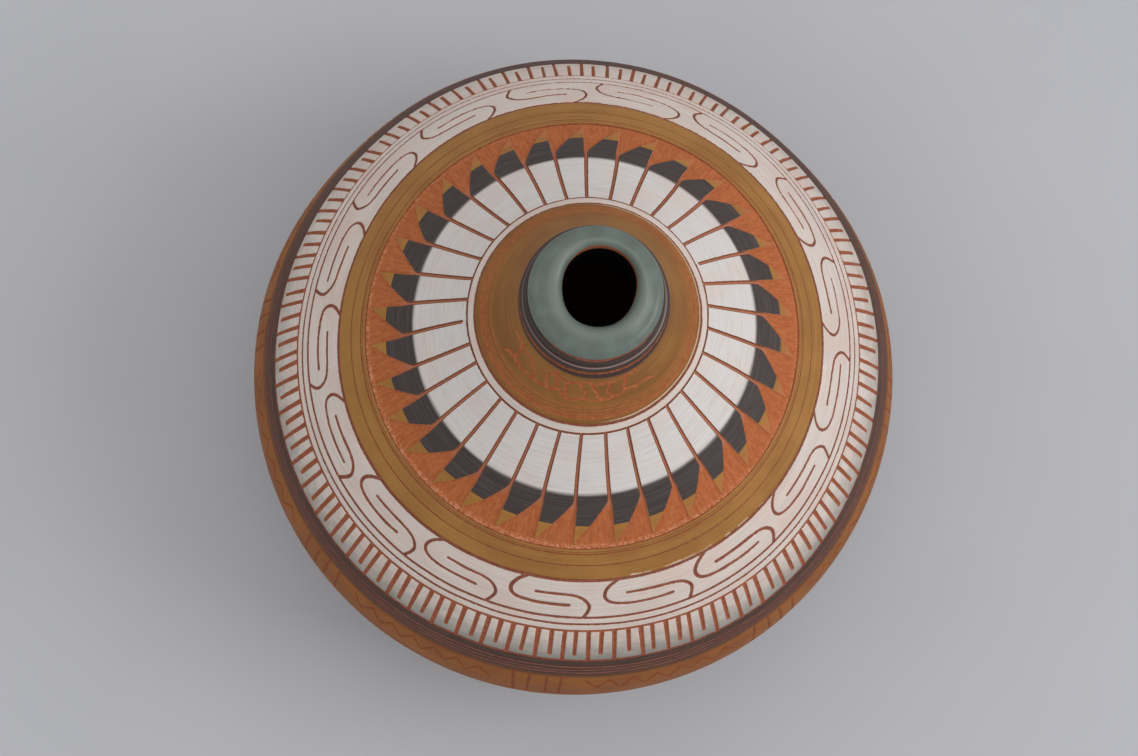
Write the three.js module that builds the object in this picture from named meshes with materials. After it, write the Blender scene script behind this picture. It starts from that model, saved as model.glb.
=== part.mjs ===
// A carved pottery vase: a squat, wheel-thrown clay jar with a narrow rolled mouth.
// The leather-hard clay was covered with bands of coloured slip, and a loop tool then cut
// through the slip to the clay. Each island of slip that the cuts leave standing is a piece
// here: the rings, and a fan of pointed feathers round the collar.
// Millimetres, +Z up. The origin is the centre of the foot, on the surface it stands on.
import * as THREE from "three";

// Outline of the jar
const bellyRadius = 80;
const bellyHeight = 42;
const shoulderRise = 96.5; // belly to the root of the neck
const neckRootRadius = 16;
const shoulderUprightLength = 45.1; // how far the shoulder keeps the belly's upright direction
const collarSteepLength = 28.1; // how far the collar keeps the neck's steep direction
const collarSlope = 74; // degrees from level, at the root of the neck
const bowlUprightLength = 21;
const footShallowLength = 22;
const footSlope = 24; // degrees from level, where the bowl meets the foot

// Clay walls and foot
const wallThickness = 5;
const floorThickness = 6;
const footRadius = 36;
const footRingWidth = 6;
const footRecess = 2;
const footChamfer = 1.2;

// Neck and rolled lip
const mouthRadius = 7.7;
const rimRadius = 14.4;
const rollRadius = 2.4; // outer edge of the lip
const crestRadius = 2.2; // inner edge of the lip, round the mouth
const neckRise = 7.9; // root of the neck to the middle of the outer edge
const crestRise = 1; // middle of the outer edge to the middle of the inner edge
const rimOverhang = 1.2; // how far the rim stands out from the clay of the neck
const beadHeight = 2.5;
const beadGap = 0.5; // the line of bare clay between two beads
const upperBeadDepth = 1.5;
const beadEdge = 0.45; // thickness of a bead's slip at its upper and lower edges

// Slip: how thick it lies, and the seat left under it
const slipThickness = 0.5;
const slipSeat = 0.3;

// Cuts through the slip, and the widths of the bands, measured along the wall from the neck
const fineCut = 0.6;
const collarWidth = 17.6;
const rootRingWidth = 1.9;
const featherLength = 31.3;
const groundStrip = 1.2; // carved ground left between the feather points and the next band
const ochreBandWidth = 9.4;
const scrollBandWidth = 11.2;
const lineRingWidth = 1.7;
const tickBandWidth = 10.8;
const tickFootCut = 1;
const darkBandWidth = 7.3;
const bareFootWidth = 9; // unslipped clay round the foot

// The feather fan
const featherCount = 34;
const featherPhase = 3.96; // degrees, the first cut of the fan from +X
const featherCut = 1;
const featherBarStart = 0.575; // where the dark bar starts, as a share of the feather's length
const featherShoulder = 0.66; // where the long edge starts to slant in towards the point
const featherBend = 0.83;
const featherBendWidth = 0.46; // width left at the bend, as a share of the full width
const featherTipWidth = 0.5;
const featherBladeSteps = 3;

// Smoothness of the revolved forms
const bodySides = 48;
const neckSides = 36;
const arcSteps = 3;
const longestStep = 10; // between two rows of a band, along the wall
const longestInnerStep = 15;

// Coordinates and curves

const radians = THREE.MathUtils.degToRad;

function point(radius, height) {
  return new THREE.Vector2(radius, height);
}

function along(origin, degrees, length) {
  const turn = radians(degrees);
  return point(origin.x + length * Math.cos(turn), origin.y + length * Math.sin(turn));
}

const neckRoot = point(neckRootRadius, bellyHeight + shoulderRise);
const belly = point(bellyRadius, bellyHeight);
const footEdge = point(footRadius + footChamfer, footChamfer);

// The outer wall as one line from the root of the neck, over the shoulder, round to the foot.
const outerWall = new THREE.CurvePath();
outerWall.add(
  new THREE.CubicBezierCurve(
    neckRoot,
    along(neckRoot, -collarSlope, collarSteepLength),
    along(belly, 90, shoulderUprightLength),
    belly,
  ),
);
outerWall.add(
  new THREE.CubicBezierCurve(
    belly,
    along(belly, -90, bowlUprightLength),
    along(footEdge, footSlope, footShallowLength),
    footEdge,
  ),
);
const wallLength = outerWall.getLength();
const bellyDistance = outerWall.curves[0].getLength();

// A point of the wall at a distance from the neck, sunk square to the surface by a depth.
function wallPoint(distance, depth) {
  const share = THREE.MathUtils.clamp(distance / wallLength, 0, 1);
  const surface = outerWall.getPointAt(share);
  const direction = outerWall.getTangentAt(share);
  const inward = point(direction.y, -direction.x);
  return surface.addScaledVector(inward, depth);
}

const clayDepth = slipThickness + slipSeat;

// The bands, each starting where the cut after the last one ends

function band(start, width) {
  return { start, end: start + width };
}

function bandAfter(previous, cut, width) {
  return band(previous.end + cut, width);
}

const collar = band(0, collarWidth);
const rootRing = bandAfter(collar, fineCut, rootRingWidth);
const feathers = bandAfter(rootRing, fineCut, featherLength);
const ochreBand = bandAfter(feathers, groundStrip, ochreBandWidth);
const scrollBand = bandAfter(ochreBand, fineCut, scrollBandWidth);
const innerLineRing = bandAfter(scrollBand, fineCut, lineRingWidth);
const outerLineRing = bandAfter(innerLineRing, fineCut, lineRingWidth);
const tickBand = bandAfter(outerLineRing, fineCut, tickBandWidth);
const darkBand = bandAfter(tickBand, tickFootCut, darkBandWidth);
const bowlBand = {
  start: darkBand.end + slipSeat,
  end: wallLength - bareFootWidth,
};

// Distances in even steps from start to end, both counted.
function evenRows(start, end, steps) {
  return Array.from({ length: steps + 1 }, (_, i) => start + ((end - start) * i) / steps);
}

// Rows across a band. A band that runs over the belly has a row at its widest.
function bandRows({ start, end }, longest = longestStep) {
  if (start < bellyDistance && end > bellyDistance)
    return [
      ...bandRows({ start, end: bellyDistance }, longest),
      ...bandRows({ start: bellyDistance, end }, longest).slice(1),
    ];
  return evenRows(start, end, Math.ceil((end - start) / longest));
}

// Distances of the rows across a feather: even steps down the blade, then the bar, the
// shoulder where the edge turns in, the bend, and the point.
function featherRows() {
  const length = feathers.end - feathers.start;
  const barStart = feathers.start + featherBarStart * length;
  return [
    ...evenRows(feathers.start, barStart, featherBladeSteps),
    feathers.start + featherShoulder * length,
    feathers.start + featherBend * length,
    feathers.end,
  ];
}

// The clay follows the same rows as the slip above it, so the seat between them is even.
// At a cut, one row in its middle serves both edges.
function clayRows() {
  const ringsBelowFan = [
    ochreBand,
    scrollBand,
    innerLineRing,
    outerLineRing,
    tickBand,
    darkBand,
    bowlBand,
  ];
  const slipRows = [
    bandRows(rootRing),
    featherRows(),
    ...ringsBelowFan.map((ring) => bandRows(ring)),
  ];
  const rows = bandRows(collar);
  for (const [edge, ...inner] of slipRows) {
    const edgeBefore = rows.pop();
    rows.push((edgeBefore + edge) / 2, ...inner);
  }
  return [...rows, wallLength];
}

// Geometry

// Revolves a closed outline about the vertical axis. A LatheGeometry turns about Y.
function revolve(outline, sides) {
  return new THREE.LatheGeometry(outline, sides).rotateX(Math.PI / 2);
}

// An arc about a centre, from one direction to another, in degrees.
function arc(centre, radius, from, to) {
  return Array.from({ length: arcSteps + 1 }, (_, i) =>
    along(centre, from + ((to - from) * i) / arcSteps, radius),
  );
}

const rollCentre = point(rimRadius - rollRadius, neckRoot.y + neckRise);
const crestCentre = point(mouthRadius + crestRadius, rollCentre.y + crestRise);
const clayNeckRadius = rimRadius - rimOverhang;
const undercut = THREE.MathUtils.radToDeg(
  Math.acos((clayNeckRadius - rollCentre.x) / (rollRadius - clayDepth)),
);

// The lip is the outline round two circles: the outer roll, and the crest round the mouth.
// The straight slope between them touches both. Below, the roll ends at the clay of the neck.
function lip(depth) {
  const roll = rollRadius - depth;
  const crest = crestRadius - depth;
  const across = rollCentre.clone().sub(crestCentre);
  const slope = THREE.MathUtils.radToDeg(
    Math.atan2(across.y, across.x) + Math.acos((crest - roll) / across.length()),
  );
  return [
    ...arc(rollCentre, roll, -undercut, slope),
    ...arc(crestCentre, crest, slope, 180),
  ];
}

// A ring of slip: its face on the wall line, its back one slip thickness below.
function slipRing(ring) {
  const rows = bandRows(ring);
  const face = rows.map((row) => wallPoint(row, 0)).reverse();
  const back = rows.map((row) => wallPoint(row, slipThickness));
  return [...face, ...back, face[0]];
}

const beadSeatRadius = clayNeckRadius + slipSeat;
const lowerBeadDepth = neckRoot.x - beadSeatRadius;
const lowerBeadFoot = neckRoot.y + slipSeat;
const upperBeadFoot = lowerBeadFoot + beadHeight + beadGap;

// A half-round bead of slip turned round the neck.
function bead(foot, depth) {
  const halfHeight = beadHeight / 2;
  const face = [-90, -45, 0, 45, 90].map((turn) =>
    point(
      beadSeatRadius + beadEdge + (depth - beadEdge) * Math.cos(radians(turn)),
      foot + halfHeight + halfHeight * Math.sin(radians(turn)),
    ),
  );
  const seatFoot = point(beadSeatRadius, foot);
  return [seatFoot, ...face, point(beadSeatRadius, foot + beadHeight), seatFoot];
}

// The clay itself: foot, bowl, shoulder, neck and lip outside, then the bore and the hollow.
function clayOutline() {
  const footRingRadius = footRadius - footRingWidth;
  const outside = clayRows()
    .reverse()
    .map((row) => wallPoint(row, clayDepth));
  const hollow = { start: wallThickness, end: wallLength };
  const floor = footRecess + floorThickness;
  const inside = bandRows(hollow, longestInnerStep)
    .map((row) => wallPoint(row, clayDepth + wallThickness))
    .filter((inner) => inner.y > floor + wallThickness / 2 && inner.x > mouthRadius);
  const floorEdge = point(inside.at(-1).x - wallThickness, floor);
  return [
    point(0, footRecess),
    point(footRingRadius - footChamfer, footRecess),
    point(footRingRadius, 0),
    point(footRadius, 0),
    ...outside,
    point(clayNeckRadius, neckRoot.y),
    ...lip(clayDepth),
    point(mouthRadius + clayDepth, neckRoot.y),
    ...inside,
    floorEdge,
    point(0, floor),
  ];
}

function rimGlazeOutline() {
  const face = lip(0);
  const back = lip(slipThickness).reverse();
  return [...face, ...back, face[0]];
}

// The point of the wall at a distance and a turn about the axis, sunk by a depth.
function onWall(distance, turn, depth) {
  const { x, y } = wallPoint(distance, depth);
  return [x * Math.cos(turn), x * Math.sin(turn), y];
}

// One feather of the fan. Its straight edge runs beside the cut before it. The other edge
// runs beside the next cut as far as the shoulder, then slants in to the point.
function featherGeometry(index) {
  const rows = featherRows();
  const pitch = (2 * Math.PI) / featherCount;
  const straightCut = radians(featherPhase) + index * pitch;
  const bendRow = rows.length - 2;
  const edges = rows.map((row, i) => {
    const radius = wallPoint(row, 0).x;
    const halfCut = featherCut / 2 / radius;
    const straight = straightCut + halfCut;
    const full = pitch - 2 * halfCut;
    const narrowing = [featherBendWidth * full, featherTipWidth / radius];
    const width = i < bendRow ? full : narrowing[i - bendRow];
    return [straight, straight + width / 2, straight + width];
  });
  const columns = edges[0].length;
  const corners = [];
  for (const depth of [0, slipThickness])
    edges.forEach((turns, i) => {
      for (const turn of turns) corners.push(...onWall(rows[i], turn, depth));
    });
  const back = rows.length * columns;
  const faces = [];
  const quad = (a, b, c, d) => faces.push(a, b, c, a, c, d);
  for (let i = 0; i < rows.length - 1; i += 1)
    for (let j = 0; j < columns - 1; j += 1) {
      const corner = i * columns + j;
      const below = corner + columns;
      quad(corner, below, below + 1, corner + 1);
      quad(back + corner, back + corner + 1, back + below + 1, back + below);
    }
  const last = columns - 1;
  for (let i = 0; i < rows.length - 1; i += 1) {
    const corner = i * columns;
    const below = corner + columns;
    quad(corner, back + corner, back + below, below);
    quad(corner + last, below + last, back + below + last, back + corner + last);
  }
  const end = (rows.length - 1) * columns;
  for (let j = 0; j < columns - 1; j += 1) {
    quad(j, j + 1, back + j + 1, back + j);
    quad(end + j, back + end + j, back + end + j + 1, end + j + 1);
  }
  return new THREE.BufferGeometry()
    .setAttribute("position", new THREE.Float32BufferAttribute(corners, 3))
    .setIndex(faces);
}

// Finishes

const fired = (color, roughness) =>
  new THREE.MeshStandardMaterial({ color, roughness, metalness: 0 });
const redClay = fired(0xb0653c, 0.85);
const whiteSlip = fired(0xd3cdcb, 0.6);
const ochreSlip = fired(0x96703f, 0.65);
const darkSlip = fired(0x57494a, 0.6);
const celadonGlaze = fired(0x748b82, 0.4);

// The vase

const vase = new THREE.Group();

function addPiece(name, geometry, finish) {
  const piece = new THREE.Mesh(geometry, finish);
  piece.name = name;
  vase.add(piece);
}

function addRing(name, ring, finish, sides = bodySides) {
  addPiece(name, revolve(slipRing(ring), sides), finish);
}

addPiece("clay_body", revolve(clayOutline(), bodySides), redClay);
addPiece("rim_glaze", revolve(rimGlazeOutline(), neckSides), celadonGlaze);
addPiece("neck_bead_upper", revolve(bead(upperBeadFoot, upperBeadDepth), neckSides), darkSlip);
addPiece("neck_bead_lower", revolve(bead(lowerBeadFoot, lowerBeadDepth), neckSides), darkSlip);
addRing("collar_slip", collar, ochreSlip, neckSides);
addRing("root_ring", rootRing, whiteSlip, neckSides);
for (let i = 0; i < featherCount; i += 1) {
  const name = "feather_" + String(i + 1).padStart(2, "0");
  addPiece(name, featherGeometry(i), whiteSlip);
}
addRing("ochre_band", ochreBand, ochreSlip);
addRing("scroll_band", scrollBand, whiteSlip);
addRing("line_ring_inner", innerLineRing, whiteSlip);
addRing("line_ring_outer", outerLineRing, whiteSlip);
addRing("tick_band", tickBand, whiteSlip);
addRing("shoulder_dark_band", darkBand, darkSlip);
addRing("bowl_slip", bowlBand, ochreSlip);

export default vase;
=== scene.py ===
"""The looks of a carved pottery vase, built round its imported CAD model.

Lengths are millimetres until a mesh is made. A coat on the jar is a grid of two parameters:
phi, the turn about the axis from +X, and s, the distance along the outer wall from the neck.
"""

import math
from collections import namedtuple

import bpy
import numpy as np
from mathutils import Matrix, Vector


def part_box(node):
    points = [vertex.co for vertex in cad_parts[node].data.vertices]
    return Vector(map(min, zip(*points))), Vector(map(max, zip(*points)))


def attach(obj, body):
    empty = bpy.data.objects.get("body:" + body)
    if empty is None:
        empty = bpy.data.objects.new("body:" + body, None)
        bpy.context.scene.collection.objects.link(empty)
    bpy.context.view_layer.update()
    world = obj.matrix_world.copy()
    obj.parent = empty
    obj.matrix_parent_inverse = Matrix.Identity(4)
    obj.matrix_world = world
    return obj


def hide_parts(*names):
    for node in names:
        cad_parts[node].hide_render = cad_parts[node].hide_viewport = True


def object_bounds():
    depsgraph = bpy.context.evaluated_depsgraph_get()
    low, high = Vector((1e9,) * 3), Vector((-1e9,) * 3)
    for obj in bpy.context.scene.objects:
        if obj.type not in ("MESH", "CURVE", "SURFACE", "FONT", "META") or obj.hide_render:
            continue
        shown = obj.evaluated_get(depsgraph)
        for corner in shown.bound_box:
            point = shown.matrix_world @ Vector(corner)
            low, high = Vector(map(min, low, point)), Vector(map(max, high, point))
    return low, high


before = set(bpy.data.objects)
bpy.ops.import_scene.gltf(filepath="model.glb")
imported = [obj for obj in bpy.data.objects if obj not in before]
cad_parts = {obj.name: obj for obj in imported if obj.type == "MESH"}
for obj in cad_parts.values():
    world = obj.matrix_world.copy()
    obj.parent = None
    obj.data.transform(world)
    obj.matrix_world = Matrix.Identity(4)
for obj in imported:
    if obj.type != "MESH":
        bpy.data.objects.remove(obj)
cad_low, cad_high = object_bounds()

MM = 0.001
TURN = 2 * math.pi

# Outline of the jar
NECK_ROOT_RADIUS = 16
BELLY_RADIUS = 80
BELLY_HEIGHT = 42
SHOULDER_RISE = 96.5
SHOULDER_UPRIGHT_LENGTH = 45.1
COLLAR_STEEP_LENGTH = 28.1
COLLAR_SLOPE = 74
BOWL_UPRIGHT_LENGTH = 21
FOOT_SHALLOW_LENGTH = 22
FOOT_SLOPE = 24

# Clay, foot, neck and lip
CLAY_DEPTH = 0.8
WALL_THICKNESS = 5
FLOOR_THICKNESS = 6
FOOT_RADIUS = 36
FOOT_RING_WIDTH = 6
FOOT_RECESS = 2
FOOT_CHAMFER = 1.2
MOUTH_RADIUS = 7.7
RIM_RADIUS = 14.4
ROLL_RADIUS = 2.4
CREST_RADIUS = 2.2
NECK_RISE = 7.9
NECK_CLAY_RADIUS = 13.2
NECK_COLUMNS = 480
# Heights over which the inside goes near-black: painted shade in the bore
BORE_SHADE_HEIGHTS = (60, 110)

# The carving
CUT_DEPTH = 0.45
COAT_BACK = 1.45
EDGE_REACH = 0.3
GROUND_DEPTH = 0.42
FEATHER_COUNT = 34
FEATHER_PHASE = math.radians(3.96)
FEATHER_CUT = 0.95
FEATHER_LENGTH = 31.3
BAR_START = 17.25
POINT_START = 25.9
RUBBED_POINT = (26.6, 29.2)
RUBBED_TURN = math.radians(55)
COLLAR_RINGS = (12.6, 13.7, 14.6, 15.3, 15.9)
# Where the painted highlight along the collar's ridge starts and how far it reaches, in radians
RIDGE_START = -1.35
RIDGE_LENGTH = 3.25
OCHRE_LINES = (54.9, 58.3)
SCROLL_COUNT = 17
SCROLL_PHASE = math.radians(13.9)
TICK_PAIRS = 71
SHORT_TICKS = (8.4, 9.6)
WASH_START = 78
WASH_LENGTH = 15.5
DARK_LINES = (94.1, 95.6, 97.1)
LINE_GROUPS = 8
LINE_GROUP_PHASE = math.radians(5)
LINE_GROUP_FOOT = 47
ZIGZAG_HEIGHTS = (58.5, 53)
ZIGZAG_POINTS = 14
BOWL_RING_HEIGHT = 46
LINE_SPACING = math.radians(2.9)
ZIGZAG_START = math.radians(8.5)
ZIGZAG_LENGTH = math.radians(28)
NET_CORNERS = 13
NET_START = 211
NET_STEP = 9.2
SKIRT = np.array([0.42, 0.34, 0.24, 0.11])
SKIRT_DEPTH = np.array([0.8, 0.5, 0.34, 0.1])
ROW_STEP = 0.12

# The hand: how far the rings run off centre at places along the wall, and how the neck leans
OFF_CENTRE_PLACES = (0, 25, 50, 70, 95)
OFF_CENTRE = (0.5, 0.55, 0.0, 0.0, 0.8)
OFF_CENTRE_TURN = math.radians(305)
WAVE_PLACES = (52, 63, 80, 92)
WAVE_SIZES = (0, 0.65, 0.86, 1.2)
WAVE_SEED = 11647
RIPPLE_HEIGHT = 0.03
RIPPLE_LENGTH = 40
FLAT_TURNS = np.radians([58, 149])
FLAT_DEPTH = 1.1
FLAT_SPREAD = math.radians(21)
FLAT_PLACES = (60, 78, 94)
FLAT_LOWERS = (0, 0.9, 1.6)
FLAT_FADES_DOWN = (-4, 22)
FLAT_FADES_UP = (84, 66)
PRESS = 0.16
PRESS_TURN = math.radians(265)
FAN_TURNED = math.radians(0.9)
FAN_DRIFT = math.radians(1.25)
FAN_DRIFT_TURN = math.radians(91)
SCROLL_DRIFT = math.radians(2.2)
SCROLL_DRIFT_TURN = math.radians(112)
NECK_LEAN = (0.75, -0.25, 0)
NECK_LEAN_RISE = 16
MOUTH_WIDENING = 0.45
MOUTH_OFF_CENTRE = 1.1
MOUTH_OFF_CENTRE_TURN = math.radians(64)
MOUTH_OVAL = 0.36
MOUTH_OVAL_TURN = math.radians(87)
MOUTH_SQUARE = 0.11
MOUTH_SQUARE_TURN = math.radians(52)

# The photograph: its width and its camera's distance to the picture plane, both in pixels
PHOTO_WIDTH = 1138
PHOTO_FOCAL_LENGTH = 2500


# Curves in the plane of radius and height


def cubic(start, first_handle, last_handle, end):
    """A cubic curve: its four corners weighted by (1-t)^3, 3t(1-t)^2, 3t^2(1-t) and t^3."""
    t = np.linspace(0, 1, 3000)[:, None]
    rest = 1 - t
    return (
        rest**3 * start
        + 3 * t * rest**2 * first_handle
        + 3 * t**2 * rest * last_handle
        + t**3 * end
    )


def beyond(origin, degrees, length):
    """The point a length away from origin, in a direction in degrees from level outward."""
    turn = math.radians(degrees)
    return np.asarray(origin) + length * np.array([math.cos(turn), math.sin(turn)])


def arc(centre, radius, start, end, steps):
    """Points round a centre, from one direction to another in degrees, in even steps."""
    turn = np.radians(np.linspace(start, end, steps + 1))
    return np.asarray(centre) + radius * np.stack([np.cos(turn), np.sin(turn)], axis=1)


def rounded(corners, reach, steps=4):
    """A line with its inner corners eased: each is replaced by a curve that leaves the line at
    most reach before the corner and joins it as far after."""
    corners = np.asarray(corners, float)
    before, corner, after = corners[:-2], corners[1:-1], corners[2:]
    arriving = before - corner
    leaving = after - corner
    arriving_length = np.linalg.norm(arriving, axis=1, keepdims=True)
    leaving_length = np.linalg.norm(leaving, axis=1, keepdims=True)
    ease = np.minimum(reach, 0.45 * np.minimum(arriving_length, leaving_length))
    start = corner + arriving / arriving_length * ease
    end = corner + leaving / leaving_length * ease
    t = np.linspace(0, 1, steps + 1)[None, :, None]
    curve = (
        (1 - t) ** 2 * start[:, None]
        + 2 * t * (1 - t) * corner[:, None]
        + t**2 * end[:, None]
    )
    return np.vstack([corners[:1], curve.reshape(-1, 2), corners[-1:]])


neck_root = np.array([NECK_ROOT_RADIUS, BELLY_HEIGHT + SHOULDER_RISE])
belly = np.array([BELLY_RADIUS, BELLY_HEIGHT])
foot_edge = np.array([FOOT_RADIUS + FOOT_CHAMFER, FOOT_CHAMFER])
shoulder_curve = cubic(
    neck_root,
    beyond(neck_root, -COLLAR_SLOPE, COLLAR_STEEP_LENGTH),
    beyond(belly, 90, SHOULDER_UPRIGHT_LENGTH),
    belly,
)
bowl_curve = cubic(
    belly,
    beyond(belly, -90, BOWL_UPRIGHT_LENGTH),
    beyond(foot_edge, FOOT_SLOPE, FOOT_SHALLOW_LENGTH),
    foot_edge,
)
wall_line = np.vstack([shoulder_curve, bowl_curve[1:]])
wall_s = np.concatenate([[0], np.cumsum(np.linalg.norm(np.diff(wall_line, axis=0), axis=1))])
wall_direction = np.gradient(wall_line, wall_s, axis=0)
wall_length = wall_s[-1]
belly_row = len(shoulder_curve) - 1


def wall_point(s, depth=0):
    """Radius and height of the wall at s, sunk square to the surface by depth. The direction
    into the clay is the wall's own direction turned by a quarter."""
    radius = np.interp(s, wall_s, wall_line[:, 0])
    height = np.interp(s, wall_s, wall_line[:, 1])
    outward = np.interp(s, wall_s, -wall_direction[:, 1])
    upward = np.interp(s, wall_s, wall_direction[:, 0])
    return radius - depth * outward, height - depth * upward


def s_at_height(height):
    """The distance along the wall where it is at a height."""
    return float(np.interp(-height, -wall_line[:, 1], wall_s))


def span_of(node):
    """Where a CAD ring above the belly starts and ends along the wall. Its top edge gives the
    start, and its widest radius gives the end."""
    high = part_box(node)[1]
    end = np.interp(high[0] / MM, wall_line[: belly_row + 1, 0], wall_s[: belly_row + 1])
    return s_at_height(high[2] / MM), float(end)


def turns(columns):
    """Even steps once round the jar."""
    return np.linspace(0, TURN, columns, endpoint=False)


def round_axis(radius, phi, height):
    """Places at a radius, turn and height: the radius times the turn's cosine and sine, and the
    height."""
    level = np.broadcast_arrays(radius * np.cos(phi), radius * np.sin(phi), height)
    return np.stack(level, axis=-1)


# Hand-made unevenness


def wander(phi, seed, size, waves):
    """A wander round the jar that meets itself: cosines of 1 to waves turns, each with a random
    strength and phase, which together reach about size."""
    rng = np.random.default_rng(seed)
    count = np.arange(1, waves + 1).reshape(-1, *[1] * np.ndim(phi))
    strength = rng.normal(0, 1, waves).reshape(count.shape) / np.sqrt(count)
    phase = rng.uniform(0, TURN, waves).reshape(count.shape)
    total = (strength * np.cos(count * phi + phase)).sum(axis=0)
    return size * total / np.sqrt((strength**2).sum())


def smoothed(points):
    """A line with its corners cut off three times, a quarter from each end of each step."""
    points = np.asarray(points, float)
    for _ in range(3):
        first = 0.75 * points[:-1] + 0.25 * points[1:]
        second = 0.25 * points[:-1] + 0.75 * points[1:]
        inner = np.stack([first, second], axis=1).reshape(-1, points.shape[1])
        points = np.vstack([points[:1], inner[1:-1], points[-1:]])
    return points


def step_between(value, start, end):
    """Goes smoothly from 0 at start to 1 at end, which may be the smaller: 3t^2 - 2t^3."""
    t = np.clip((value - start) / (end - start), 0, 1)
    return t * t * (3 - 2 * t)


def flat_at(turn):
    """How far the belly is pressed in at a turn: a bell curve at each flat."""
    away = (np.asarray(turn)[..., None] - FLAT_TURNS + math.pi) % TURN - math.pi
    return FLAT_DEPTH * np.exp(-((away / FLAT_SPREAD) ** 2)).sum(axis=-1)


def off_centre(phi, s):
    """How far a ring at s is shifted down the wall at phi: it was cut off centre, and lower on
    the jar it waves, because the clay had dried a little out of round. It lies lower where the
    belly is flat."""
    leaning = np.interp(s, OFF_CENTRE_PLACES, OFF_CENTRE) * np.cos(phi - OFF_CENTRE_TURN)
    waving = np.interp(s, WAVE_PLACES, WAVE_SIZES) * wander(phi, WAVE_SEED, 1.0, 5)
    return leaning + waving + np.interp(s, FLAT_PLACES, FLAT_LOWERS) * flat_at(phi)


# A cut that runs right round the jar: its middle, half its width, and a seed for the hand
Cut = namedtuple("Cut", "s half seed")


def line_round(phi, cut):
    """Where a cut runs: its place, the shift of a ring off centre, the wander that all the
    rings share, and a small one of its own."""
    shared = off_centre(phi, cut.s) + wander(phi, 5, 0.17, 4)
    return cut.s + shared + wander(phi, cut.seed, 0.05, 40)


def pressed_half(phi, half):
    """Half the width of a cut at phi: the tool bit deeper and wider on one side of the jar."""
    return half * (1 + PRESS * np.cos(phi - PRESS_TURN))


class Face:
    """The outer face of a coat on the wall: phi and s of each point of its grid, how deep it
    lies, and fields that the finishes read. carved is the distance inside the edge of a cut,
    or less than 0 outside it, as a share of EDGE_REACH and at most 1 either way. worn is the
    same for rubbed lines, and also for the painted highlight along the collar's ridge, and wash
    is a share from 0 to 1."""

    def __init__(self, phi, s):
        """A bare face on the wall: phi and s are spread over the same grid."""
        self.phi, self.s = np.broadcast_arrays(phi, s)
        self.radius = np.interp(self.s, wall_s, wall_line[:, 0])
        self.depth = np.zeros(self.s.shape)
        self.carved = np.full(self.s.shape, -1.0)
        self.worn_and_highlight = np.full(self.s.shape, -1.0)
        self.wash_and_highlight = np.zeros(self.s.shape)

    def cut_round(self, cut, depth):
        """A cut right round the jar, whose floor is a hollow curve depth deep."""
        half = pressed_half(self.phi, cut.half)
        inside = half - np.abs(self.s - line_round(self.phi[0], cut))
        self.carved = np.maximum(self.carved, np.clip(inside / EDGE_REACH, -1, 1))
        hollow = 1 - (1 - np.clip(inside / half, 0, 1)) ** 2
        self.depth = np.maximum(self.depth, depth * hollow)

    def stroke(self, points, half, depth, field="carved"):
        """A stroke through points of (phi, s), from each grid point's distance to its nearest
        straight stretch, over the columns near it. half may differ from point to point."""
        points = np.asarray(points, float)
        half = pressed_half(points[:, 0], np.broadcast_to(half, len(points)))
        middle = (points[:, 0].min() + points[:, 0].max()) / 2
        turn = (self.phi[0] - middle + math.pi) % TURN - math.pi
        margin = 2.5 / self.radius.min()
        near = np.abs(turn) < np.ptp(points[:, 0]) / 2 + margin
        x = turn[near] * self.radius[:, near]
        s = self.s[:, near]
        inside = np.full(s.shape, -EDGE_REACH)
        hollow = np.zeros(s.shape)
        for start, end, half_start, half_end in zip(points, points[1:], half, half[1:]):
            start_x = (start[0] - middle) * self.radius[:, near]
            run_x = (end[0] - start[0]) * self.radius[:, near]
            run_s = end[1] - start[1]
            length = run_x**2 + run_s**2
            t = np.clip(((x - start_x) * run_x + (s - start[1]) * run_s) / length, 0, 1)
            away = np.hypot(x - start_x - t * run_x, s - start[1] - t * run_s)
            half_here = half_start + (half_end - half_start) * t
            inside = np.maximum(inside, half_here - away)
            across = np.clip(1 - away / half_here, 0, 1)
            hollow = np.maximum(hollow, 1 - (1 - across) ** 2)
        kept = getattr(self, field)
        kept[:, near] = np.maximum(kept[:, near], np.clip(inside / EDGE_REACH, -1, 1))
        self.depth[:, near] = np.maximum(self.depth[:, near], depth * hollow)

    def places(self):
        """The place of each point: the wall sunk by its depth, turned by phi."""
        radius, height = wall_point(self.s, self.depth)
        return round_axis(radius, self.phi, height)

    def lay(self):
        """Coordinates that follow the coat: a circle of its mean radius, and s upward. Marks
        along the ring keep their length there, and the two ends of the ring meet."""
        return round_axis(self.radius.mean(), self.phi, self.s)

    def fields(self):
        """What the finishes read, by name."""
        return {
            "carved": self.carved,
            "worn_and_highlight": self.worn_and_highlight,
            "wash_and_highlight": self.wash_and_highlight,
            "lay": self.lay(),
        }


def joined(*faces, axis=0):
    """The places and fields of faces, one after another down the rows, or across for axis 1."""
    fields = [face.fields() for face in faces]
    places = np.concatenate([face.places() for face in faces], axis)
    return places, {
        name: np.concatenate([part[name] for part in fields], axis) for name in fields[0]
    }


# Meshes


def quads_over(rows, columns, close_rows=False):
    """The four corners of each cell of a grid: down a row, along a column, and back up. Its
    columns close round, and its rows may too."""
    index = np.arange(rows * columns).reshape(rows, columns)
    if close_rows:
        index = np.vstack([index, index[:1]])
    index = np.hstack([index, index[:, :1]])
    corners = [index[:-1, :-1], index[1:, :-1], index[1:, 1:], index[:-1, 1:]]
    return np.stack(corners, axis=-1).reshape(-1, 4)


def put_in_scene(name, data):
    """A new object in the scene."""
    made = bpy.data.objects.new(name, data)
    bpy.context.scene.collection.objects.link(made)
    return made


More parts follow.
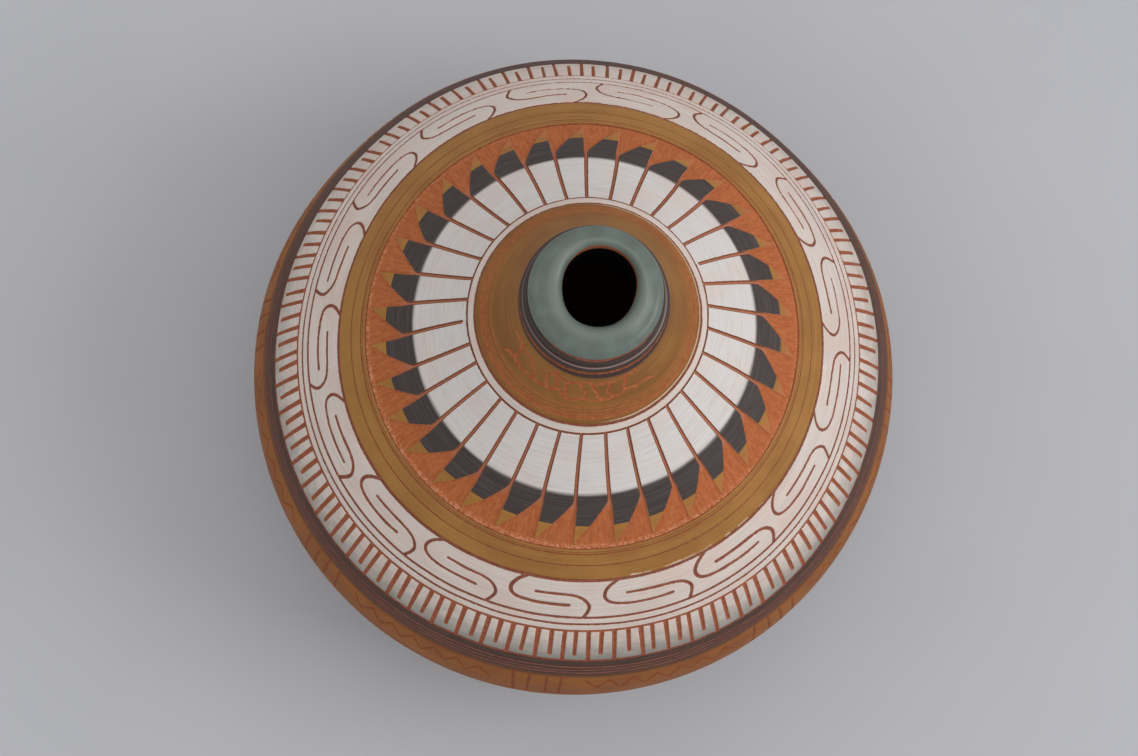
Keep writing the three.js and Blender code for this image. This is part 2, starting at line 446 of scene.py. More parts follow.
def formed_by_hand(places):
    """Places moved as the hand left the jar. The neck leans, by a share that rises smoothly
    from 0 on the collar to 1 at the root of the neck. At two turns the belly is a little flat:
    it is pressed in by a bell curve of the turn, which fades out toward the shoulder and foot."""
    height = places[:, 2]
    rise = step_between(height, neck_root[1] - NECK_LEAN_RISE, neck_root[1])
    flat = flat_at(np.arctan2(places[:, 1], places[:, 0]))
    low = step_between(height, *FLAT_FADES_DOWN) * step_between(height, *FLAT_FADES_UP)
    pressed = 1 - flat * low / BELLY_RADIUS
    shaped = places * np.stack([pressed, pressed, np.ones(len(places))], axis=1)
    return shaped + rise[:, None] * NECK_LEAN


def make_piece(name, places, faces, fields, finish, nodes):
    """Puts places in millimetres and faces into a mesh, keeps the fields as attributes, and
    lets the piece stand for its CAD nodes."""
    mesh = bpy.data.meshes.new(name)
    mesh.from_pydata((formed_by_hand(places.reshape(-1, 3)) * MM).tolist(), [], faces)
    mesh.shade_smooth()
    for field, values in fields.items():
        vector = np.size(values) == places.size
        kind = "FLOAT_VECTOR" if vector else "FLOAT"
        attribute = mesh.attributes.new(field, kind, "POINT")
        attribute.data.foreach_set("vector" if vector else "value", np.ravel(values))
    mesh.materials.append(finish)
    piece = put_in_scene(name, mesh)
    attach(piece, "root")
    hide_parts(*nodes)


def make_shell(name, places, fields, finish, slot, *nodes):
    """A closed ring from a grid that meets itself in both directions."""
    faces = quads_over(*places.shape[:2], True).tolist()
    make_piece(name, places, faces, fields, finish, nodes)


def plain_fields(places, s):
    """The fields of a piece without carving: no cut, no wear, no wash, and a lay round the
    axis with s along the outline."""
    mean = np.hypot(places[..., 0], places[..., 1]).mean()
    turn = np.arctan2(places[..., 1], places[..., 0])
    return {
        "carved": np.full(turn.shape, -1.0),
        "worn_and_highlight": np.full(turn.shape, -1.0),
        "wash_and_highlight": np.zeros(turn.shape),
        "lay": round_axis(mean, turn, s),
    }


def along_outline(outline):
    """The distance along an outline of each of its points."""
    steps = np.linalg.norm(np.diff(outline, axis=0), axis=1)
    return np.concatenate([[0], np.cumsum(steps)])


def turned_round(outline, columns):
    """An outline of (radius, height), or one outline for each column, turned about the axis."""
    if outline.ndim == 2:
        outline = outline[:, None]
    return round_axis(outline[..., 0], turns(columns), outline[..., 1])


# Nodes and colours

# A kind of node: its type, the sockets that values fill in order, its output and its settings
Kind = namedtuple("Kind", "node sockets output settings", defaults=(0, {}))

# A smooth rise of a value from start to end, given as low to high, and a colour between two
SHARE = Kind("ShaderNodeMapRange", (0, 1, 2, 3, 4), 0, {"interpolation_type": "SMOOTHSTEP"})
BLEND = Kind("ShaderNodeMix", (0, 6, 7), 2, {"data_type": "RGBA"})
SUM, PRODUCT, LARGER = (
    Kind("ShaderNodeMath", (0, 1), 0, {"operation": operation})
    for operation in ("ADD", "MULTIPLY", "MAXIMUM")
)
CARVED, WORN_AND_HIGHLIGHT, WASH_AND_HIGHLIGHT, REACH, PAINTED_BORE_SHADE = (
    Kind("ShaderNodeAttribute", (), "Fac", {"attribute_name": field})
    for field in ("carved", "worn_and_highlight", "wash_and_highlight", "reach", "inside")
)
LAY = Kind("ShaderNodeAttribute", (), "Vector", {"attribute_name": "lay"})
STRETCH = Kind("ShaderNodeVectorMath", (0, 1), 0, {"operation": "MULTIPLY"})
PLACE = Kind("ShaderNodeTexCoord", (), "Object")
NOISE = Kind("ShaderNodeTexNoise", ("Vector", "Scale", "Detail", "Roughness"))
BUMP = Kind("ShaderNodeBump", ("Height", "Distance"))
SURFACE = Kind(
    "ShaderNodeBsdfPrincipled",
    ("Base Color", "Roughness", "Specular IOR Level", "Normal", "Coat Weight", "Coat Roughness"),
)
MATERIAL_OUTPUT = Kind("ShaderNodeOutputMaterial", ("Surface",))
CAMERA_RAY = Kind("ShaderNodeLightPath", (), "Is Camera Ray")
GLOSSY_RAY = Kind("ShaderNodeLightPath", (), "Is Glossy Ray")
BACKGROUND = Kind("ShaderNodeBackground", ("Color", "Strength"))
SHADER_BLEND = Kind("ShaderNodeMixShader", (0, 1, 2))
WORLD_OUTPUT = Kind("ShaderNodeOutputWorld", ("Surface",))

PLAIN_SHINE = 0.5
BURNISHED = 0.55
ROUGH_CLAY = 0.85
CLAY_RELIEF = 0.05
GRIT = 0.35


def linear(code):
    """A linear RGBA colour from an sRGB hex value: c/12.92 up to 0.04045, and otherwise
    ((c + 0.055) / 1.055) to the power of 2.4."""
    shares = [(code >> shift & 255) / 255 for shift in (16, 8, 0)]
    return (*(c / 12.92 if c <= 0.04045 else ((c + 0.055) / 1.055) ** 2.4 for c in shares), 1)


def add(tree, kind, *values):
    """Adds a node with its settings, fills or links its sockets in order, and gives its output.
    A colour is given as an sRGB hex value."""
    made = tree.nodes.new(kind.node)
    for setting, value in kind.settings.items():
        setattr(made, setting, value)
    for name, value in zip(kind.sockets, values):
        socket = made.inputs[name]
        if isinstance(value, bpy.types.NodeSocket):
            tree.links.new(value, socket)
        else:
            socket.default_value = linear(value) if socket.type == "RGBA" else value
    return made.outputs[kind.output] if len(made.outputs) else None


def streaks(tree, along, across):
    """Marks that run round the ring, along millimetres long and across millimetres apart: noise
    that changes slowly round the lay of the coat and quickly across it."""
    stretched = add(tree, STRETCH, add(tree, LAY), (1 / along, 1 / along, 1 / across))
    return add(tree, NOISE, stretched, 1.0, 3.0, 0.6)


def grain(tree, size, detail=2.0):
    """An even grain, size millimetres across."""
    return add(tree, NOISE, add(tree, PLACE), 1 / (size * MM), detail)


def layered(tree, colour, *layers):
    """A colour with others laid over it, each where its pattern rises from start to end, and up
    to a strength there."""
    for pattern, start, end, strength, over in layers:
        amount = add(tree, SHARE, pattern, start, end, 0.0, strength)
        colour = add(tree, BLEND, amount, colour, over)
    return colour


def make_material(name, dress, *choices, **more):
    """A material, where dress adds its nodes and gives the values of the surface's sockets in
    their order."""
    material = bpy.data.materials.new(name)
    material.use_nodes = True
    tree = material.node_tree
    tree.nodes.clear()
    add(tree, MATERIAL_OUTPUT, add(tree, SURFACE, *dress(tree, *choices, **more)))
    return material


def red_clay_paint(tree, tone=0x9C5C3C, light=0xAE6C46):
    """Red-brown clay with paler grit."""
    return layered(
        tree,
        tone,
        (grain(tree, 1.2), 0.35, 0.65, 1, light),
        (grain(tree, GRIT), 0.6, 0.7, 0.4, 0xB98360),
    )


def feather_clay_paint(tree, tone, light):
    """The clay in the cuts beside a feather: dark in the narrow cuts, as painted shade, and as
    bright as the scraped ground where that opens out beside the point."""
    narrow = red_clay_paint(tree, tone, light)
    return layered(tree, narrow, (add(tree, REACH), 18.5, 21.5, 1, 0xA8623C))


def white_paint(tree, tone=0xC9C4C1, warm=0xCBBBB3, marks=(18, 0.5)):
    """Off-white slip: faint streaks, warm patches where it lies thin, and a few iron specks."""
    return layered(
        tree,
        tone,
        (grain(tree, 9, 3.0), 0.42, 0.66, 0.7, warm),
        (streaks(tree, *marks), 0.38, 0.7, 0.5, 0xAFA9A5),
        (grain(tree, 0.4), 0.72, 0.76, 0.55, 0x8A6A58),
    )


def warm_white_paint(tree):
    """The white slip of the rings, warmer than on the feathers."""
    return white_paint(tree, 0xCABDB4, 0xC8B0A4)


def tick_paint(tree):
    """Warm white slip, washed thinly in grey-green down the band in cloudy strokes, and a brown
    edge where the dark slip below ran into it."""
    wash_and_highlight = add(tree, WASH_AND_HIGHLIGHT)
    cloud = add(tree, SHARE, grain(tree, 3.0, 3.0), 0.3, 0.7, -0.1, 0.18)
    strokes = (wash_and_highlight, cloud, 1.05, 1, 0x6C6D66)
    return layered(tree, warm_white_paint(tree), strokes, (wash_and_highlight, 0.79, 0.9, 1, 0x5B463C))


def ochre_paint(tree, tone=0x98692D, dark=0x8D5E27, light=0xA17437, red=0x7B4519, bitten=0.12):
    """Ochre slip: darker and lighter streaks from the brush, cloudy patches, and fine red marks
    where the burnishing tool bit."""
    return layered(
        tree,
        tone,
        (grain(tree, 11, 3.0), 0.35, 0.65, 1, dark),
        (streaks(tree, 30, 0.8), 0.42, 0.7, 0.45, light),
        (streaks(tree, 12, 0.25), 0.56, 0.74, bitten, red),
    )


def dark_paint(tree, tone=0x3A302D, light=0x4B413D):
    """Near-black slip with paler brush streaks."""
    return layered(tree, tone, (streaks(tree, 10, 0.3), 0.4, 0.7, 1, light))


def collar_paint(tree):
    """Ochre slip, going over to near-black along its top edge beside the lower bead, where the
    field says.
    """
    ochre = ochre_paint(tree, 0x88591F, 0x7B4D1A, 0x94672A, 0x7C3D18, 0.45)
    return add(tree, BLEND, add(tree, WASH_AND_HIGHLIGHT), ochre, 0x3A2722)


def bowl_paint(tree):
    """Ochre slip on the bowl, and dark slip over it on the shoulder where the wash field says."""
    ochre = ochre_paint(tree, 0x8C5118, 0x804612, 0x996221)
    return add(tree, BLEND, add(tree, WASH_AND_HIGHLIGHT), ochre, dark_paint(tree, 0x3E271D, 0x593928))


def bead_paint(tree):
    """The dark slip of the neck beads, blended to pale pink-grey where the highlight field says:
    a painted highlight on the bead's rounded shoulder.
    """
    return add(tree, BLEND, add(tree, WASH_AND_HIGHLIGHT), dark_paint(tree, 0x35241F, 0x45322C), 0x9A8078)


def feather_paint(tree):
    """A feather crosses three painted rings: white, near-black, and ochre at its point. The
    brush leaves the first edge soft and the second crisp. Where the wash field says, the point
    is rubbed down almost to the clay."""
    uneven = add(tree, SHARE, streaks(tree, 12, 0.5), 0.3, 0.7, -0.12, 0.12)
    reach = add(tree, SUM, add(tree, REACH), uneven)
    ochre = ochre_paint(tree, 0x9C6A28, 0x8F5E22, 0xA6742F)
    point = add(tree, BLEND, add(tree, WASH_AND_HIGHLIGHT), ochre, 0xA9643A)
    return layered(
        tree,
        white_paint(tree, marks=(9, 0.3)),
        (reach, BAR_START - 0.9, BAR_START + 0.4, 1, dark_paint(tree)),
        (reach, POINT_START - 0.08, POINT_START + 0.15, 1, point),
    )


def slip(tree, paint, clay, clay_paint=red_clay_paint, marks=(14, 0.35), relief=0.02, shine=0.35):
    """A slip that was painted on leather-hard clay on the wheel, burnished, and then cut. The
    slip shows its paint, rubbed lines show paler, and the cuts show the rough clay. On the
    collar's ridge the same pale colour is a painted highlight. Both edges of a cut are a little
    ragged, from the grit that the tool drags. clay is its two tones in the cuts. marks are the
    length and spacing of the burnishing marks, which are drawn coarser than real ones so that
    they show, and relief is their height."""
    ragged = add(tree, SHARE, grain(tree, 0.6), 0.2, 0.8, -0.15, 0.15)
    bare = add(tree, SHARE, add(tree, SUM, add(tree, CARVED), ragged), -0.08, 0.2)
    # Pale colour of rubbed lines; on the collar's ridge it is a painted highlight
    rubbed = (add(tree, SUM, add(tree, WORN_AND_HIGHLIGHT), ragged), 0.0, 0.5, 0.75, 0xCDB7A6)
    covered = layered(tree, paint(tree), rubbed)
    colour = add(tree, BLEND, bare, covered, clay_paint(tree, *clay))
    roughness = add(tree, SHARE, bare, 0.0, 1.0, BURNISHED, ROUGH_CLAY)
    height = add(tree, SUM, streaks(tree, *marks), grain(tree, 0.3))
    return colour, roughness, shine, add(tree, BUMP, height, relief * MM)


def scraped_ground(tree):
    """Fired red clay that a tool scraped along the feathers: bright, rough, and mottled, with
    short scratches down the wall, duller in the narrow cuts, and pale crumbs at the edge."""
    scratches = streaks(tree, 0.5, 3.5)
    mottled = layered(
        tree,
        0x9A5129,
        (scratches, 0.36, 0.64, 1, 0xAA5F34),
        (grain(tree, 0.8, 3.0), 0.45, 0.7, 0.22, 0xBF7852),
    )
    cut = add(tree, BLEND, add(tree, WASH_AND_HIGHLIGHT), mottled, 0xAC6C50)
    crumbs = add(tree, SHARE, grain(tree, 0.6, 3.0), 0.44, 0.6)
    crumbly = add(tree, PRODUCT, crumbs, add(tree, WORN_AND_HIGHLIGHT))
    colour = layered(tree, cut, (crumbly, 0.0, 1.0, 0.7, 0xC58A6A))
    height = add(tree, SUM, scratches, grain(tree, GRIT))
    return colour, ROUGH_CLAY, 0.3, add(tree, BUMP, height, CLAY_RELIEF * MM)


def celadon(tree):
    """Grey-green satin glaze, dipped and fired, a little mottled. A paler ring on the crest, where
    the highlight field says, is a painted highlight. The glaze is thin enough at its edges for the
    clay to show."""
    pool = layered(tree, 0x556057, (grain(tree, 4.0, 3.0), 0.35, 0.65, 1, 0x5F6A63))
    crest_highlit_glaze = add(tree, BLEND, add(tree, WASH_AND_HIGHLIGHT), pool, 0x6F796F)
    ragged = add(tree, SHARE, grain(tree, 1.2), 0.2, 0.8, -0.3, 0.3)
    edge = add(tree, SUM, add(tree, WORN_AND_HIGHLIGHT), ragged)
    colour = layered(tree, crest_highlit_glaze, (edge, -0.1, 0.35, 1, 0x80492F))
    bump = add(tree, BUMP, grain(tree, 2.2), 0.06 * MM)
    return colour, 0.45, PLAIN_SHINE, bump, 0.12, 0.35


def wiped_clay(tree):
    """Unglazed red clay inside the jar and at its foot, wiped with a sponge on the wheel: matt,
    gritty, with soft finger marks round it. Up the bore it goes near-black where the inside
    field says: painted shade in the deep, narrow hollow."""
    wiped = (streaks(tree, 20, 1.6), 0.35, 0.7, 0.5, 0xA0603C)
    clay = layered(tree, red_clay_paint(tree), wiped)
    # Near-black painted shade in the bore
    colour = add(tree, BLEND, add(tree, PAINTED_BORE_SHADE), clay, 0x0A0706)
    height = add(tree, SUM, streaks(tree, 20, 1.6), grain(tree, GRIT))
    return colour, 0.9, 0.1, add(tree, BUMP, height, CLAY_RELIEF * MM)


# Its cut clay is darker than on the ticks: painted shade in the narrow lines of the scrolls and
# fine rings
white_slip = make_material("burnished_white_slip", slip, warm_white_paint, (0x7E4634, 0x8C5340))
tick_slip = make_material("washed_white_slip", slip, tick_paint, (0x8C4C31, 0x9A583A))
ochre_slip = make_material("burnished_ochre_slip", slip, ochre_paint, (0x77391F, 0x86472A))
shoulder_slips = make_material(
    "dark_slip_on_the_shoulder", slip, bowl_paint, (0x7E4232, 0x8B4D3A)
)
bowl_slips = make_material(
    "slips_on_the_bowl", slip, bowl_paint, (0x7C4023, 0x894B2A), shine=0.2
)
collar_slips = make_material(
    "ochre_slip_on_the_collar", slip, collar_paint, (0x964B27, 0xA65B32)
)
bead_slip = make_material(
    "dark_slip_on_the_beads", slip, bead_paint, (0x84462E, 0x935337), shine=0.5
)
feather_slip = make_material(
    "feather_slips",
    slip,
    feather_paint,
    # Tones of the cut clay: dark, as painted shade in the narrow cuts
    (0x74412C, 0x814D35),
    feather_clay_paint,
    marks=(9, 0.3),
    relief=0.03,
)
scraped_clay = make_material("scraped_red_clay", scraped_ground)
bare_clay = make_material("bare_red_clay", wiped_clay)
celadon_glaze = make_material("celadon_glaze", celadon)


# The rings of slip

RING_NODES = (
    "collar_slip",
    "root_ring",
    "ochre_band",
    "scroll_band",
    "line_ring_inner",
    "line_ring_outer",
    "tick_band",
    "shoulder_dark_band",
)
spans = {node: span_of(node) for node in RING_NODES}


def cut_between(upper, lower, half, seed):
    """The cut between two CAD rings, in the middle of the gap that they leave."""
    return Cut((spans[upper][1] + spans[lower][0]) / 2, half, seed)


collar_top = Cut(0.1, 0.1, 11)
collar_cut = cut_between("collar_slip", "root_ring", 0.36, 12)
root_cut = Cut(spans["root_ring"][1] + 0.3, 0.28, 13)
feather_start = spans["root_ring"][1] + 0.6
ground_end = Cut(spans["ochre_band"][0], 0.3, 14)
ochre_cut = cut_between("ochre_band", "scroll_band", 0.42, 15)
inner_cut = cut_between("scroll_band", "line_ring_inner", 0.36, 16)
middle_cut = cut_between("line_ring_inner", "line_ring_outer", 0.32, 17)
outer_cut = cut_between("line_ring_outer", "tick_band", 0.36, 18)
tick_foot_cut = cut_between("tick_band", "shoulder_dark_band", 0.33, 19)
dark_end = Cut(spans["shoulder_dark_band"][1] + 0.15, 0.2, 20)
bowl_end = s_at_height(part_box("bowl_slip")[0][2] / MM)


def ring_face(top, bottom, columns, step, edge_depth=(CUT_DEPTH, CUT_DEPTH), fine=()):
    """The face of a ring from the middle of the cut above it to the middle of the cut below.
    Rows lie ROW_STEP apart near both cuts and near the places of fine lines, and step apart
    between them."""
    phi = turns(columns)
    first = line_round(phi, top)
    last = line_round(phi, bottom)
    width = bottom.s - top.s
    near = ROW_STEP * np.arange(6)
    count = max(2, math.ceil((width - 2 * near[-1]) / step))
    middle = np.linspace(near[-1], width - near[-1], count + 1)[1:-1]
    beside = ROW_STEP * np.arange(-3, 4)
    close = [line - top.s + beside for line in fine]
    rows = np.concatenate([near, middle, width - near, *close]) / width
    rows = np.unique(np.round(rows, 4))[:, None]
    face = Face(phi, first + rows * (last - first))
    face.cut_round(top, edge_depth[0])
    face.cut_round(bottom, edge_depth[1])
    return face


def back_face(phi, s):
    """The hidden side of a coat, COAT_BACK under the wall."""
    back = Face(phi, s)
    back.depth = np.full(back.s.shape, COAT_BACK)
    back.carved = np.ones(back.s.shape)
    return back


def ring_back(face):
    """The back of a ring, from its lower edge to its upper one, in steps of about 9 mm."""
    steps = max(2, math.ceil(np.ptp(face.s[:, 0]) / 9))
    rows = np.linspace(1, 0, steps + 1)[:, None]
    return back_face(face.phi[0], face.s[0] + rows * (face.s[-1] - face.s[0]))


def soft_ripple(face):
    """Sinks the face by slow ripples of the wheel and the hand, never raising it."""
    across = wander(face.s * TURN / RIPPLE_LENGTH, 40, RIPPLE_HEIGHT, 14)
    around = wander(face.phi, 41, RIPPLE_HEIGHT, 20)
    ripple = RIPPLE_HEIGHT + 0.5 * (across + around)
    face.depth = face.depth + np.clip(ripple, 0, 2 * RIPPLE_HEIGHT)


def make_ring(name, node, face, finish, slot):
    """A ring of slip from its face, with a back under it."""
    soft_ripple(face)
    places, fields = joined(face, ring_back(face))
    make_shell(name, places, fields, finish, slot, node)


# The collar's ridge, where a painted highlight lies just above the cut at the collar's foot
ridge_highlight = Cut(collar_cut.s - 0.75, 0.24, collar_cut.seed)


def carve_collar(face):
    """Fine rings near the foot of the collar; a painted highlight along a ridge over a part of
    it, on the side toward the key light, which thins out toward both ends; and on one side a net
    of thin wandering lines: corners in two loose rows, of which neighbours are joined by lines
    with bends."""
    rng = np.random.default_rng(38)
    for i, s in enumerate(COLLAR_RINGS):
        face.cut_round(Cut(s, 0.15 + 0.012 * i, 50 + i), 0.08)
    share = np.linspace(0, 1, 125)
    phi = RIDGE_START + RIDGE_LENGTH * share
    thinned = ridge_highlight.half * np.clip(3 * np.sin(math.pi * share), 0.1, 1)
    # Painted highlight along the ridge: a pale stroke that sinks nothing
    face.stroke(np.stack([phi, line_round(phi, ridge_highlight)], axis=1), thinned, 0, "worn_and_highlight")
    count = NET_CORNERS
    phi = np.radians(NET_START + NET_STEP * np.arange(count))
    upper = np.stack([phi, 4.6 + rng.uniform(-1.3, 1.3, count)], axis=1)
    lower = np.stack([phi + 0.08, 10.0 + rng.uniform(-1.8, 1.8, count)], axis=1)
    upper[:, 0] += rng.uniform(-0.07, 0.07, count)
    lower[:, 0] += rng.uniform(-0.07, 0.07, count)
    joints = []
    for i in range(count - 1):
        if rng.random() < 0.8:
            joints.append((upper[i], upper[i + 1]))
        if rng.random() < 0.9:
            joints.append((lower[i], lower[i + 1]))
        if rng.random() < 0.65:
            joints.append((upper[i], lower[i]))
    for start, end in joints:
        t = np.linspace(0, 1, 6)[:, None]
        path = start + t * (end - start)
        path[1:-1] += rng.normal(0, 1, (4, 2)) * (0.025, 0.45)
        face.stroke(smoothed(path), 0.3, 0.18)


def carve_scrolls(face):
    """The scroll that is cut 17 times round the band. It is two strokes, each a long loop that
    hooks into the other. Points are millimetres across and down, from the cell's corner."""
    rng = np.random.default_rng(61)
    hook = np.stack([
        (3.2, 0.8, -0.2, 0.7, 3.3, 7.4, 11.2, 15),
        (-0.3, 1.7, 4.2, 6.4, 7.4, 7.6, 7.6, 7.5),
    ], axis=1)
    loop = np.stack([
        (6.1, 10.6, 15.2, 17.9, 19.3, 19.0, 17.9),
        (4.2, 4.1, 4.2, 5.1, 7.4, 9.3, 11.5),
    ], axis=1)
    top = spans["scroll_band"][0]
    pitch = TURN / SCROLL_COUNT
    radius = float(wall_point(top + 5.6)[0])
    for i in range(SCROLL_COUNT):
        stretch = rng.uniform(0.93, 1.1)
        shift = rng.uniform(-0.5, 0.5)
        for shape in (hook, loop):
            points = shape * (stretch, 1) + rng.normal(0, 0.1, shape.shape)
            points[-1 if shape is hook else 0, 0] += rng.uniform(-1.2, 1.2)
            turn = SCROLL_PHASE + i * pitch
            drift = SCROLL_DRIFT * math.cos(turn - SCROLL_DRIFT_TURN)
            phi = turn + drift + (points[:, 0] + shift) / radius
            s = top + points[:, 1] + off_centre(phi, top + 5)
            line = smoothed(np.stack([phi, s], axis=1))
            face.stroke(line, 0.4 + rng.uniform(-0.04, 0.05), CUT_DEPTH)


def carve_ticks(face):
    """Upright ticks, long and short in turn, tapering downward. The long ones reach the cut
    below the band."""
    rng = np.random.default_rng(71)
    top, bottom = spans["tick_band"]
    for i in range(2 * TICK_PAIRS):
        phi = TURN * (i + rng.uniform(-0.09, 0.09)) / (2 * TICK_PAIRS)
        lean = float(wander(phi, 73, 0.006, 4)) + rng.uniform(-0.003, 0.003)
        short = i % 2
        start = top - 0.2 + off_centre(phi, top) + (short and rng.uniform(0, 0.5))
        foot = bottom + 0.3 + off_centre(phi, bottom)
        end = start + rng.uniform(*SHORT_TICKS) if short else foot
        halves = (0.53 + rng.uniform(-0.05, 0.06), 0.47 + rng.uniform(-0.07, 0.05))
        face.stroke([(phi, start), (phi + lean, end)], halves, CUT_DEPTH)


def carve_bowl(face, start):
    """Groups of four upright lines, and a zigzag between each group and the next."""
    rng = np.random.default_rng(81)
    top = start + 0.9
    foot = s_at_height(LINE_GROUP_FOOT)
    tooth_places = [s_at_height(height) for height in ZIGZAG_HEIGHTS]
    for i in range(LINE_GROUPS):
        centre = LINE_GROUP_PHASE + TURN * i / LINE_GROUPS
        for j in range(4):
            phi = centre + LINE_SPACING * (j - 1.5) + rng.uniform(-0.004, 0.004)
            ends = np.array([top, foot]) + off_centre(phi, start)
            face.stroke([(phi, ends[0]), (phi + rng.uniform(-0.01, 0.01), ends[1])], 0.33, 0.3)
        teeth = centre + ZIGZAG_START + np.linspace(0, ZIGZAG_LENGTH, ZIGZAG_POINTS)
        places = np.resize(tooth_places, ZIGZAG_POINTS) + rng.uniform(-0.4, 0.4, ZIGZAG_POINTS)
        places = places + off_centre(teeth, start)
        face.stroke(np.stack([teeth, places], axis=1), 0.3, 0.25)
    face.cut_round(Cut(s_at_height(BOWL_RING_HEIGHT), 0.3, 83), 0.2)


fine_rings = (*COLLAR_RINGS, ridge_highlight.s)
collar_face = ring_face(collar_top, collar_cut, 760, 0.24, (0.1, CUT_DEPTH), fine_rings)
carve_collar(collar_face)
# How far the collar's near-black top edge reaches down the wall at each turn
run = 1.3 + 1.1 * np.cos(collar_face.phi - OFF_CENTRE_TURN) + wander(collar_face.phi, 57, 0.15, 12)
collar_face.wash_and_highlight = 1 - step_between(collar_face.s, run - 0.5, run + 0.5)
make_ring("collar_coat", "collar_slip", collar_face, collar_slips, "ochre_slip")

root_face = ring_face(collar_cut, root_cut, 720, 0.3)
make_ring("white_ring_under_collar", "root_ring", root_face, white_slip, "white_slip")

ochre_lines = (ground_end.s + 1.1, *OCHRE_LINES)
ochre_face = ring_face(ground_end, ochre_cut, 900, 0.3, (0.3, CUT_DEPTH), ochre_lines)
for place, half in zip(ochre_lines, (0.1, 0.19, 0.17)):
    ochre_face.cut_round(Cut(place, half, round(place)), 0.1)
chips = np.random.default_rng(95)
for _ in range(16):
    turn = math.radians(chips.uniform(292, 330))
    place = ochre_cut.s - chips.uniform(0.7, 1.0) + off_centre(turn, ochre_cut.s)
    length = chips.uniform(0.015, 0.05)
    chip_line = [(turn, place), (turn + length, place + chips.uniform(-0.15, 0.15))]
    ochre_face.stroke(chip_line, chips.uniform(0.15, 0.3), 0.03, "worn_and_highlight")
make_ring("ochre_ring", "ochre_band", ochre_face, ochre_slip, "ochre_slip")

scroll_face = ring_face(ochre_cut, inner_cut, 1600, 0.27)
carve_scrolls(scroll_face)
make_ring("scroll_ring", "scroll_band", scroll_face, white_slip, "white_slip")

for side, top, bottom in (("inner", inner_cut, middle_cut), ("outer", middle_cut, outer_cut)):
    fine_face = ring_face(top, bottom, 900, 0.3)
    make_ring("fine_ring_" + side, "line_ring_" + side, fine_face, white_slip, "white_slip")

tick_face = ring_face(outer_cut, tick_foot_cut, 1800, 0.28)
carve_ticks(tick_face)
washed_from = WASH_START + off_centre(tick_face.phi, 90)
washed = np.clip((tick_face.s - washed_from) / WASH_LENGTH, 0, 1)
tick_face.wash_and_highlight = washed * (0.66 + 0.34 * np.cos(tick_face.phi - math.radians(285)))
make_ring("tick_ring", "tick_band", tick_face, tick_slip, "white_slip")

dark_face = ring_face(tick_foot_cut, dark_end, 900, 0.3, (CUT_DEPTH, 0.05), DARK_LINES)
for place, half in zip(DARK_LINES, (0.2, 0.17, 0.2)):
    dark_face.cut_round(Cut(place, half, round(place)), 0.12)


def dark_share(face):
    """The share of dark slip on the shoulder, whose lower edge is a soft brush stroke that
    runs off centre."""
    edge = dark_end.s + off_centre(face.phi, dark_end.s) + wander(face.phi, 105, 0.2, 9)
    return 1 - step_between(face.s, edge - 1.5, edge + 1.5)


dark_face.wash_and_highlight = dark_share(dark_face)
make_ring("dark_shoulder_ring", "shoulder_dark_band", dark_face, shoulder_slips, "dark_slip")


def bowl_face():
    """The coat on the bowl: close rows over the carved part, wider ones below it, and a soft
    lower edge that thins out on the bare clay of the foot."""
    phi = turns(1240)
    first = line_round(phi, dark_end)
    length = bowl_end - dark_end.s
    rows = np.concatenate([
        np.linspace(0, 21, 54, endpoint=False),
        np.linspace(21, length - 3, 10, endpoint=False),
        length - 3 * np.linspace(1, 0, 6),
    ])
    fixed = np.clip(rows / 6, 0, 1)[:, None]
    face = Face(phi, dark_end.s + rows[:, None] + (1 - fixed) * (first - dark_end.s))
    face.depth = CLAY_DEPTH * step_between(face.s, bowl_end - 2.4, bowl_end) ** 2
    face.wash_and_highlight = dark_share(face)
    return face


bowl = bowl_face()
carve_bowl(bowl, dark_end.s)
make_ring("bowl_coat", "bowl_slip", bowl, bowl_slips, "ochre_slip")


# The fan of feathers

feather_rng = np.random.default_rng(7)
pitch = TURN / FEATHER_COUNT
straight_cuts = FEATHER_PHASE + pitch * np.arange(FEATHER_COUNT)
straight_cuts = straight_cuts + FAN_TURNED + FAN_DRIFT * np.cos(straight_cuts - FAN_DRIFT_TURN)
straight_cuts = straight_cuts + feather_rng.uniform(-0.008, 0.008, FEATHER_COUNT)
cut_starts = np.where(
    feather_rng.random(FEATHER_COUNT) < 0.06, feather_rng.uniform(0.6, 1.2, FEATHER_COUNT), -1.0
)
shoulders = 0.635 + feather_rng.uniform(-0.03, 0.03, FEATHER_COUNT)
slants = feather_rng.uniform(0.85, 1.1, FEATHER_COUNT)
leans = feather_rng.normal(0.005, 0.007, FEATHER_COUNT)
bows = feather_rng.normal(0, 0.004, FEATHER_COUNT)


def half_cut(reach, start):
    """Half the width of the cut between two feathers, which widens a little down the blades.
    Where the tool came in below the ring, the cut starts there with a rounded end, and the slip
    above it is whole."""
    into = np.clip((reach - start) / 0.5, 0, 1)
    width = FEATHER_CUT * (0.88 + 0.16 * np.clip(reach / 18, 0, 1))
    return 0.5 * width * np.sqrt(1 - (1 - into) ** 2)


def cut_turn(index, reach):
    """The turn of a cut between two feathers. Above the shoulder it leans a little, and bows to
    one side: by a line and by 4r(1-r), where r is the share of the way to the shoulder."""
    r = np.clip(reach / 20, 0, 1)
    return straight_cuts[index] + leans[index] * (1 - r) + bows[index] * 4 * r * (1 - r)


def skirt(size):
    """The side of a cut beside a feather, from its floor up to the slip: its width, its carved
    field and its depth, by the size of the skirt as a share of the whole one."""
    opened = np.clip(4 * size, 0, 1)[:, None]
    carved = np.where(opened > 0, SKIRT / EDGE_REACH, -1) * opened
    return SKIRT * size[:, None], carved, SKIRT_DEPTH * opened


